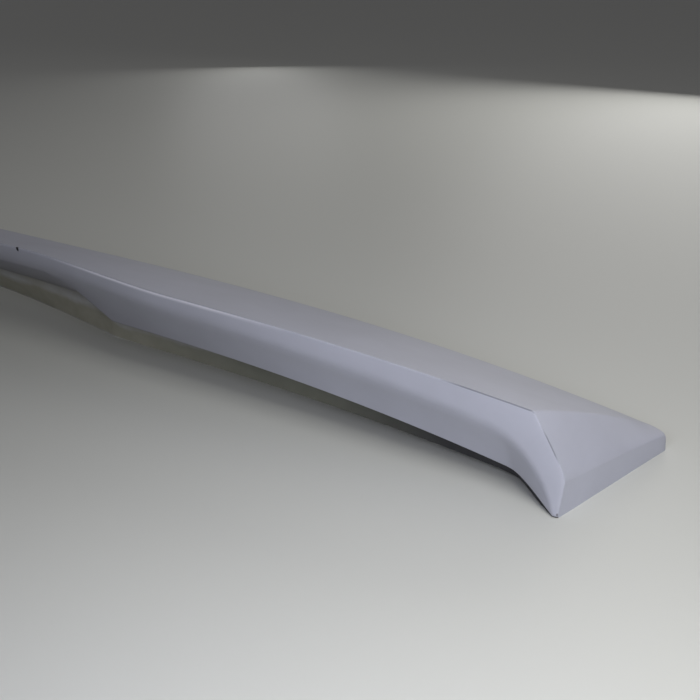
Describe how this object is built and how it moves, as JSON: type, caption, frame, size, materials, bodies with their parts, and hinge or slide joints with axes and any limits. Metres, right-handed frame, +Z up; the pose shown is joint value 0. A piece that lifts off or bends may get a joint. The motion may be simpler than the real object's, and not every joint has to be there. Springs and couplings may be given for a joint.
{
  "type": "roof spoiler",
  "caption": "Long hollow roof spoiler that arches over the roof, with a crowned top, a bevelled rear face, a cut-out for the high brake lamp and slanted ends on flat pads.",
  "frame": {"origin": "middle of the footprint, on the plane of the two end pads", "axes": "+X along the part towards its right-hand end seen from behind, +Y forward towards the leading edge, +Z up"},
  "size_m": [1.204, 0.143, 0.1025],
  "materials": {
    "primed_shell": "matt light grey primer outside, unprimed dark grey inside"
  },
  "bodies": {
    "root": {"spoiler_shell": "primed_shell"}
  },
  "joints": []
}
